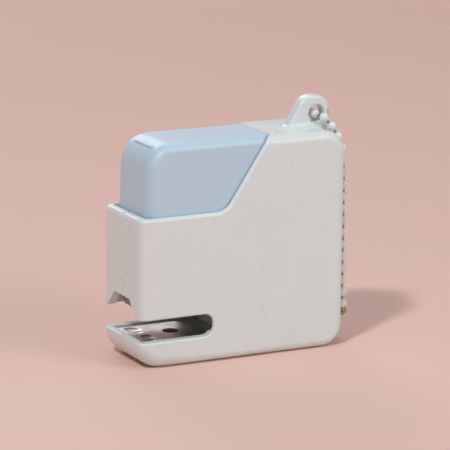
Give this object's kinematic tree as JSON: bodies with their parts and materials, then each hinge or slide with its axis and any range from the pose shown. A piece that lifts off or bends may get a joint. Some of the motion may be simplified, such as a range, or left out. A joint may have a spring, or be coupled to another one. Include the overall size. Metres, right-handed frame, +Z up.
{
  "type": "mini stapler",
  "caption": "Square pocket stapler on a ball chain: white two-piece housing with a paper slot, a sliding press button, a dipping staple magazine and a rear loading pull.",
  "frame": {"origin": "centre of the housing's footprint, on the surface it stands on", "axes": "+X from the jaw to the back, +Y to the far side, +Z up"},
  "size_m": [0.0622, 0.022, 0.0651],
  "materials": {
    "white_abs": "glossy moulded ABS, warm white",
    "blue_abs": "glossy moulded ABS, pale blue",
    "grey_abs": "satin moulded plastic, dark grey",
    "anvil_steel": "bright rolled steel with fine scratches",
    "magazine_steel": "plated pressed sheet steel",
    "blade_steel": "hardened ground steel",
    "spring_steel": "drawn spring wire",
    "screw_steel": "zinc plated steel",
    "staple_wire": "bright galvanised wire",
    "chain_paint": "white baked paint over brass"
  },
  "bodies": {
    "housing": {"housing_right": "white_abs", "housing_left": "white_abs", "housing_screw_top": "screw_steel", "housing_screw_rear": "screw_steel", "housing_screw_base": "screw_steel", "anvil_plate": "anvil_steel", "lift_spring": "spring_steel"},
    "button": {"press_button": "blue_abs", "driver_blade": "blade_steel", "blade_screw": "screw_steel", "press_spring": "spring_steel"},
    "magazine": {"magazine_channel": "magazine_steel", "magazine_pin_right": "screw_steel", "magazine_pin_left": "screw_steel", "staple_rail": "magazine_steel", "staple_strip": "staple_wire", "spring_seat": "grey_abs"},
    "loading_slide": {"loading_pull": "blue_abs", "guide_rod": "blade_steel", "pusher_spring": "spring_steel"},
    "pusher": {"staple_pusher": "grey_abs"},
    "key_chain": {"ball_chain": "chain_paint", "chain_connector": "chain_paint"}
  },
  "joints": [
    {"name": "button_press", "type": "slide", "parent": "housing", "child": "button", "axis": [0, 0, -1], "range_m": [0, 0.0144], "stiffness_N_per_m": 400, "springref_m": -0.004, "deforming": ["press_spring"]},
    {"name": "magazine_dip", "type": "hinge", "parent": "housing", "child": "magazine", "pos_m": [0.02475, 0, 0.0176], "axis": [0, -1, 0], "range_deg": [0, 8.2], "stiffness_Nm_per_rad": 0.4, "springref_deg": -3.44, "deforming": ["lift_spring"]},
    {"name": "loading_pull_out", "type": "slide", "parent": "magazine", "child": "loading_slide", "axis": [1, 0, 0], "range_m": [0, 0.04]},
    {"name": "pusher_feed", "type": "slide", "parent": "loading_slide", "child": "pusher", "axis": [1, 0, 0], "range_m": [0, 0.018], "stiffness_N_per_m": 40, "springref_m": -0.01, "deforming": ["pusher_spring"]},
    {"name": "chain_swing", "type": "hinge", "parent": "housing", "child": "key_chain", "pos_m": [0.02545, 0, 0.0603], "axis": [0, -1, 0], "range_deg": [0, 60]}
  ],
  "couplings": [
    {"joint": "magazine_dip", "follows": "button_press", "rad_per_m": 9.93}
  ]
}
